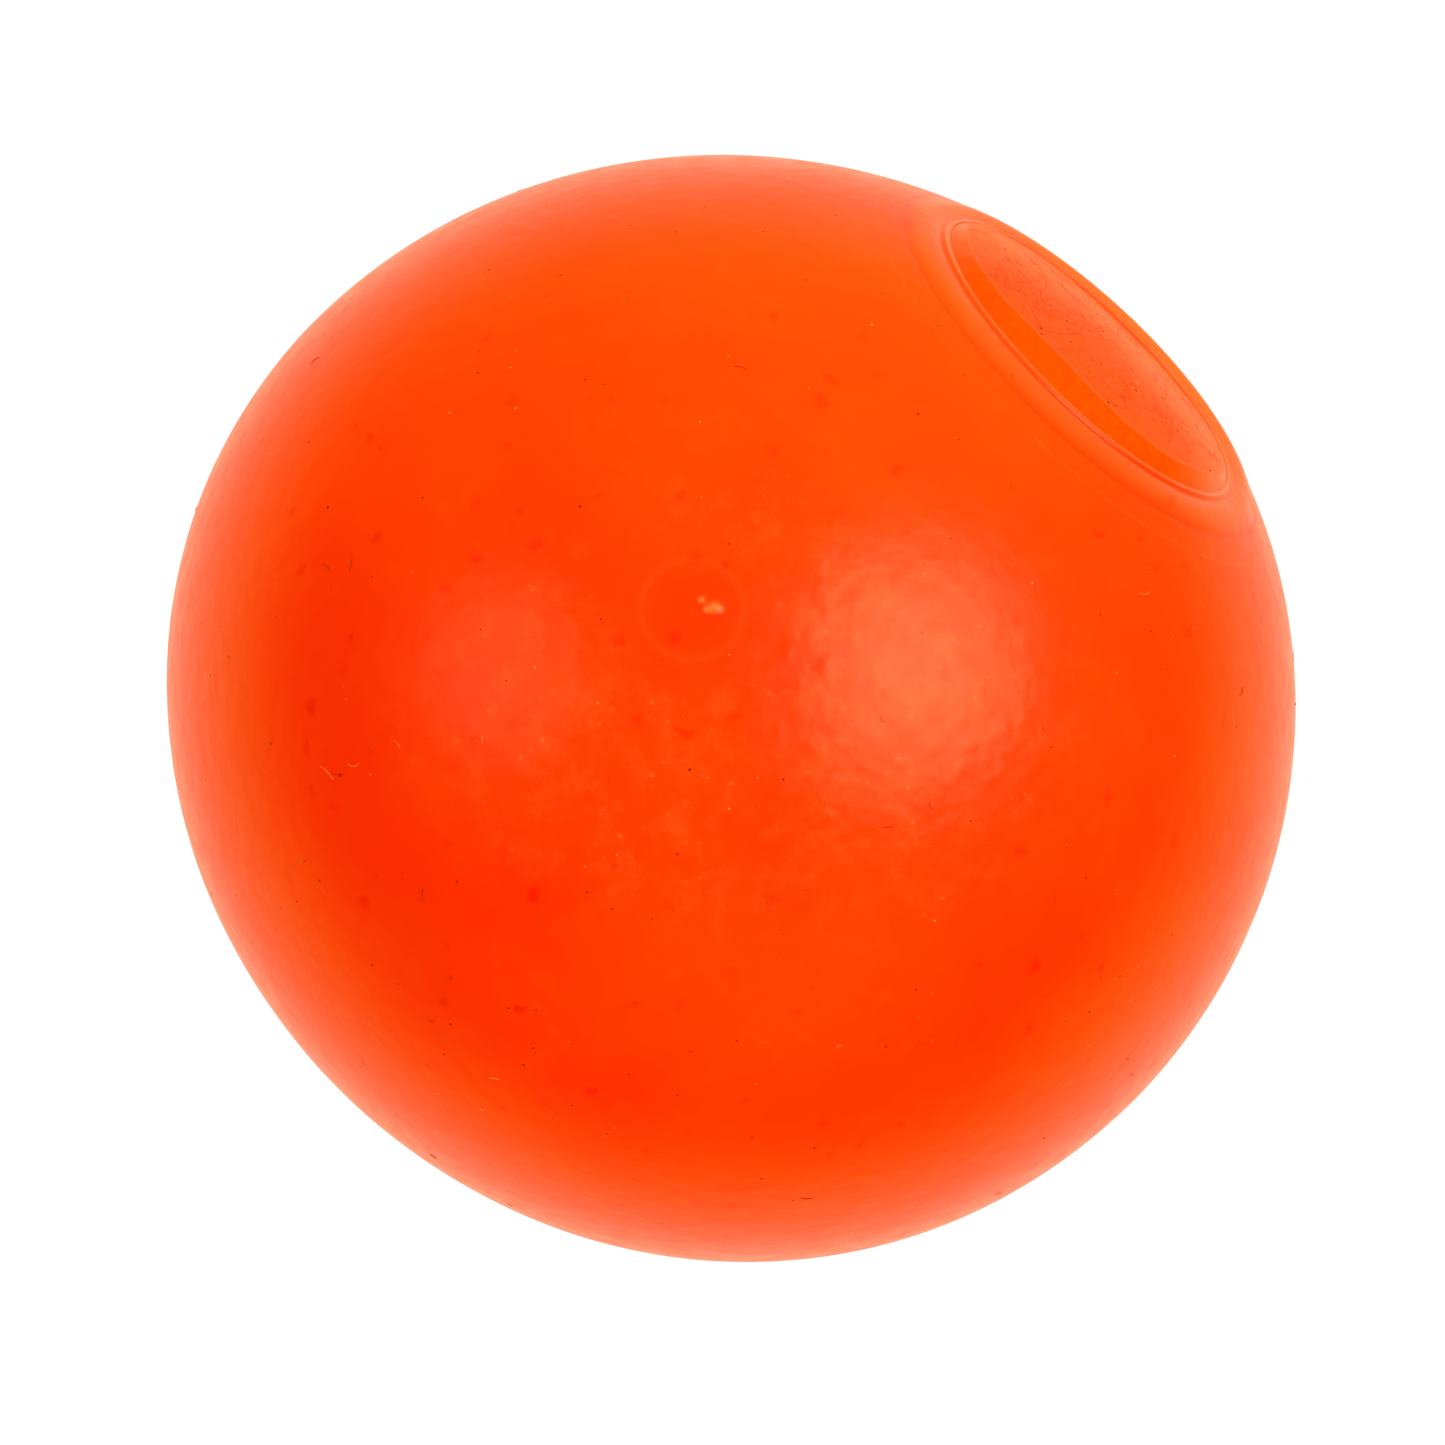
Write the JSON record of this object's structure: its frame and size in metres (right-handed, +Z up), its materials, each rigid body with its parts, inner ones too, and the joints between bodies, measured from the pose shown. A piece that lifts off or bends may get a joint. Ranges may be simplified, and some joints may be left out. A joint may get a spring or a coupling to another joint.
{
  "type": "soft squeeze ball",
  "caption": "Soft rubber squeeze ball filled with dough, closed by a glued round stopper in a raised collar, resting on a sagged flat patch.",
  "frame": {"origin": "middle of the ball's box, on the table that it rests on", "axes": "+Z up from the table, +X towards the side where the stopper is, +Y away from the gate mark"},
  "size_m": [0.0638, 0.0644, 0.0607],
  "materials": {
    "skin_rubber": "smooth satin fluorescent orange, slightly translucent",
    "stopper_rubber": "smooth satin orange",
    "clear_glue": "clear wrinkled adhesive over orange rubber",
    "dough": "soft matte dough"
  },
  "bodies": {
    "root": {"outer_skin": "skin_rubber", "fill_stopper": "stopper_rubber", "glue_seal": "clear_glue", "dough_filling": "dough"}
  },
  "joints": []
}
